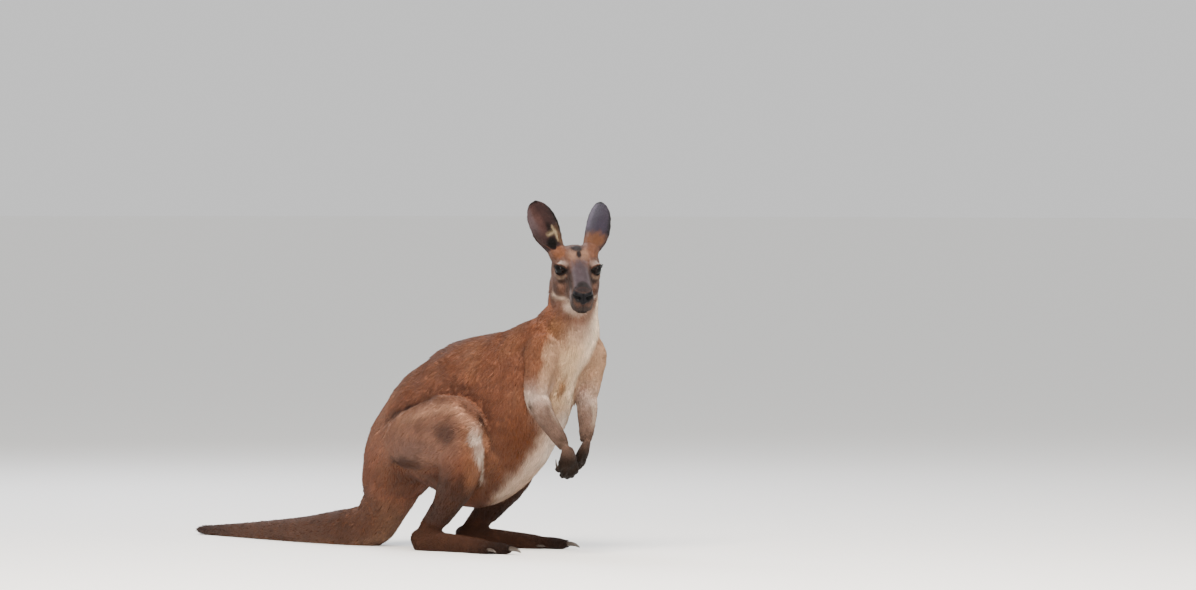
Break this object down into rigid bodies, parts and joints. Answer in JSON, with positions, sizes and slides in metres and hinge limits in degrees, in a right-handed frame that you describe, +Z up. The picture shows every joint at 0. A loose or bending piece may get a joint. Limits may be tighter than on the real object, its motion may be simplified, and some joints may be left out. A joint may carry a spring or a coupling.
{
  "type": "common wallaroo",
  "caption": "Life-size still model of a common wallaroo (euro) crouched on its hind feet and tail, hands hanging at its chest, head turned to one side.",
  "frame": {"origin": "on the floor, under the middle of the animal's box", "axes": "+Z up; the animal faces -Y and its tail runs towards +Y; +X is its left side"},
  "size_m": [0.3482, 1.2782, 0.7517],
  "materials": {
    "coat_red": "shaggy red-brown fur, paler on the chest and belly",
    "limb_grey": "short grey-brown fur",
    "paw_dark": "short dark brown fur",
    "ear_grey": "thin grey fur over skin",
    "nose_black": "bare moist black skin",
    "eye_dark": "wet, near black brown",
    "claw_horn": "dark horn"
  },
  "bodies": {
    "root": {"belly": "coat_red", "chest": "coat_red", "claw_index_left": "claw_horn", "claw_index_right": "claw_horn", "claw_little_left": "claw_horn", "claw_little_right": "claw_horn", "claw_middle_left": "claw_horn", "claw_middle_right": "claw_horn", "claw_ring_left": "claw_horn", "claw_ring_right": "claw_horn", "claw_thumb_left": "claw_horn", "claw_thumb_right": "claw_horn", "claw_toe_fifth_left": "claw_horn", "claw_toe_fifth_right": "claw_horn", "claw_toe_fourth_left": "claw_horn", "claw_toe_fourth_right": "claw_horn", "claw_toe_second_left": "claw_horn", "claw_toe_second_right": "claw_horn", "claw_toe_third_left": "claw_horn", "claw_toe_third_right": "claw_horn", "ear_left": "ear_grey", "ear_right": "ear_grey", "eye_left": "eye_dark", "eye_right": "eye_dark", "foot_left": "paw_dark", "foot_right": "paw_dark", "forearm_left": "limb_grey", "forearm_right": "limb_grey", "hand_left": "paw_dark", "hand_right": "paw_dark", "head": "coat_red", "neck": "coat_red", "nose": "nose_black", "rump": "coat_red", "shank_left": "limb_grey", "shank_right": "limb_grey", "tail_base": "coat_red", "tail_middle": "limb_grey", "tail_tip": "limb_grey", "thigh_left": "coat_red", "thigh_right": "coat_red", "upper_arm_left": "coat_red", "upper_arm_right": "coat_red"}
  },
  "joints": []
}
